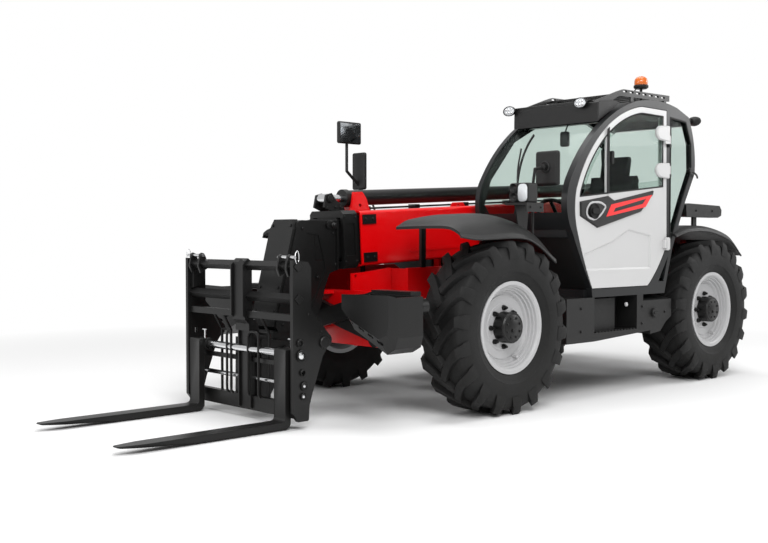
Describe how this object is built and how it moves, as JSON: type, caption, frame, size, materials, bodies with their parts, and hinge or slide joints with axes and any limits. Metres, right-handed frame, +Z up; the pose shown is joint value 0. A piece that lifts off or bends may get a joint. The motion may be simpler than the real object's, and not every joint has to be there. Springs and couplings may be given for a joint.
{
  "type": "telehandler",
  "caption": "Telescopic handler with a side cab, telescoping boom, tilting fork carriage, crossed front stabilisers and all-wheel steering.",
  "frame": {"origin": "middle of the bottom of the whole machine's box, on the ground", "axes": "+X forward along the forks, +Y to the machine's left (cab side), +Z up"},
  "size_m": [6.156, 2.258, 2.6433],
  "materials": {
    "red_paint": "gloss",
    "black_paint": "satin",
    "dark_grey_paint": "satin",
    "door_paint": "satin",
    "rim_paint": "satin",
    "black_plastic": "matte",
    "tyre_rubber": "matte",
    "green_glass": "clear",
    "chrome_rod": "polished",
    "amber_lens": "gloss",
    "lamp_plastic": "gloss",
    "seat_cloth": "matte",
    "cast_block": "rough",
    "mirror_silver": "polished"
  },
  "bodies": {
    "chassis": {"chassis": "red_paint", "axles": "black_paint", "counterweight": "black_paint", "engine_block": "cast_block", "side_tank": "black_plastic", "fenders": "black_plastic", "cab_frame": "dark_grey_paint", "cab_floor": "black_plastic", "seat": "seat_cloth", "steering_column": "black_plastic", "cab_glass": "green_glass", "roof_guard": "black_paint", "work_lamps": "black_plastic", "beacon": "amber_lens", "head_lamps": "black_plastic", "mirrors": "black_plastic", "cab_cowl": "dark_grey_paint", "lamp_lenses": "lamp_plastic", "beacon_base": "black_plastic", "rear_lamp": "black_plastic", "mirror_glass": "mirror_silver"},
    "hood": {"engine_hood": "black_plastic"},
    "door": {"door_panel": "door_paint", "door_glass": "green_glass", "door_trim": "black_plastic"},
    "boom_outer": {"boom_outer": "red_paint", "extension_barrel": "black_paint", "wear_plates": "black_paint"},
    "boom_middle": {"boom_middle": "black_paint", "extension_rod": "chrome_rod"},
    "boom_inner": {"boom_inner": "black_paint"},
    "carriage": {"carriage": "black_paint", "fork_shaft": "chrome_rod"},
    "fork_left": {"fork_left": "black_paint"},
    "fork_right": {"fork_right": "black_paint"},
    "lift_barrel": {"lift_barrel": "black_paint"},
    "lift_rod": {"lift_rod": "chrome_rod"},
    "stabiliser_left": {"stabiliser_left": "black_paint"},
    "stabiliser_right": {"stabiliser_right": "black_paint"},
    "foot_left": {"foot_left": "black_paint"},
    "foot_right": {"foot_right": "black_paint"},
    "knuckle_front_left": {"knuckle_front_left": "black_paint"},
    "wheel_front_left": {"tyre_front_left": "tyre_rubber", "rim_front_left": "rim_paint", "hub_front_left": "black_paint"},
    "knuckle_front_right": {"knuckle_front_right": "black_paint"},
    "wheel_front_right": {"tyre_front_right": "tyre_rubber", "rim_front_right": "rim_paint", "hub_front_right": "black_paint"},
    "knuckle_rear_left": {"knuckle_rear_left": "black_paint"},
    "wheel_rear_left": {"tyre_rear_left": "tyre_rubber", "rim_rear_left": "rim_paint", "hub_rear_left": "black_paint"},
    "knuckle_rear_right": {"knuckle_rear_right": "black_paint"},
    "wheel_rear_right": {"tyre_rear_right": "tyre_rubber", "rim_rear_right": "rim_paint", "hub_rear_right": "black_paint"}
  },
  "joints": [
    {"name": "boom_lift", "type": "hinge", "parent": "chassis", "child": "boom_outer", "pos_m": [-2.858, -0.13, 1.5], "axis": [0, -1, 0], "range_deg": [0, 69]},
    {"name": "boom_extend", "type": "slide", "parent": "boom_outer", "child": "boom_middle", "axis": [0.9986, 0, -0.0523], "range_m": [0, 2.9]},
    {"name": "inner_extend", "type": "slide", "parent": "boom_middle", "child": "boom_inner", "axis": [0.9986, 0, -0.0523], "range_m": [0, 2.9]},
    {"name": "carriage_tilt", "type": "hinge", "parent": "boom_inner", "child": "carriage", "pos_m": [1.542, -0.13, 0.45], "axis": [0, 1, 0], "range_deg": [-12, 114]},
    {"name": "fork_left_shift", "type": "slide", "parent": "carriage", "child": "fork_left", "axis": [0, -1, 0], "range_m": [0, 0.22]},
    {"name": "fork_right_shift", "type": "slide", "parent": "carriage", "child": "fork_right", "axis": [0, 1, 0], "range_m": [0, 0.22]},
    {"name": "lift_barrel_pivot", "type": "hinge", "parent": "chassis", "child": "lift_barrel", "pos_m": [-2.628, -0.13, 1.05], "axis": [0, -1, 0], "range_deg": [0, 68.83]},
    {"name": "lift_rod_slide", "type": "slide", "parent": "lift_barrel", "child": "lift_rod", "axis": [0.9999, 0, -0.0129], "range_m": [0, 0.57443]},
    {"name": "stabiliser_left_swing", "type": "hinge", "parent": "chassis", "child": "stabiliser_left", "pos_m": [1.102, -0.45, 0.55], "axis": [-1, 0, 0], "range_deg": [0, 22]},
    {"name": "stabiliser_right_swing", "type": "hinge", "parent": "chassis", "child": "stabiliser_right", "pos_m": [1.052, 0.45, 0.55], "axis": [1, 0, 0], "range_deg": [0, 22]},
    {"name": "foot_left_pivot", "type": "hinge", "parent": "stabiliser_left", "child": "foot_left", "pos_m": [1.342, 1, 0.81], "axis": [1, 0, 0], "range_deg": [-5, 25]},
    {"name": "foot_right_pivot", "type": "hinge", "parent": "stabiliser_right", "child": "foot_right", "pos_m": [1.342, -1, 0.81], "axis": [-1, 0, 0], "range_deg": [-5, 25]},
    {"name": "hood_hinge", "type": "hinge", "parent": "chassis", "child": "hood", "pos_m": [-1.078, -0.386, 1.284], "axis": [-1, 0, 0], "range_deg": [0, 60]},
    {"name": "door_hinge", "type": "hinge", "parent": "chassis", "child": "door", "pos_m": [-1.718, 1.098, 1.65], "axis": [0, 0, 1], "range_deg": [0, 150]},
    {"name": "steer_front_left", "type": "hinge", "parent": "chassis", "child": "knuckle_front_left", "pos_m": [0.322, 0.8, 0.625], "axis": [0, 0, 1], "range_deg": [-35, 35]},
    {"name": "spin_front_left", "type": "hinge", "parent": "knuckle_front_left", "child": "wheel_front_left", "pos_m": [0.322, 0.93, 0.625], "axis": [0, 1, 0], "continuous": true},
    {"name": "steer_front_right", "type": "hinge", "parent": "chassis", "child": "knuckle_front_right", "pos_m": [0.322, -0.8, 0.625], "axis": [0, 0, 1], "range_deg": [-35, 35]},
    {"name": "spin_front_right", "type": "hinge", "parent": "knuckle_front_right", "child": "wheel_front_right", "pos_m": [0.322, -0.93, 0.625], "axis": [0, 1, 0], "continuous": true},
    {"name": "steer_rear_left", "type": "hinge", "parent": "chassis", "child": "knuckle_rear_left", "pos_m": [-2.449, 0.8, 0.625], "axis": [0, 0, -1], "range_deg": [-35, 35]},
    {"name": "spin_rear_left", "type": "hinge", "parent": "knuckle_rear_left", "child": "wheel_rear_left", "pos_m": [-2.449, 0.93, 0.625], "axis": [0, 1, 0], "continuous": true},
    {"name": "steer_rear_right", "type": "hinge", "parent": "chassis", "child": "knuckle_rear_right", "pos_m": [-2.449, -0.8, 0.625], "axis": [0, 0, -1], "range_deg": [-35, 35]},
    {"name": "spin_rear_right", "type": "hinge", "parent": "knuckle_rear_right", "child": "wheel_rear_right", "pos_m": [-2.449, -0.93, 0.625], "axis": [0, 1, 0], "continuous": true}
  ],
  "couplings": [
    {"joint": "inner_extend", "follows": "boom_extend", "ratio": 1},
    {"joint": "lift_barrel_pivot", "follows": "boom_lift", "ratio": 0.99755},
    {"joint": "lift_rod_slide", "follows": "boom_lift", "m_per_rad": 0.47699},
    {"joint": "steer_front_right", "follows": "steer_front_left", "ratio": 1},
    {"joint": "steer_rear_right", "follows": "steer_rear_left", "ratio": 1}
  ]
}
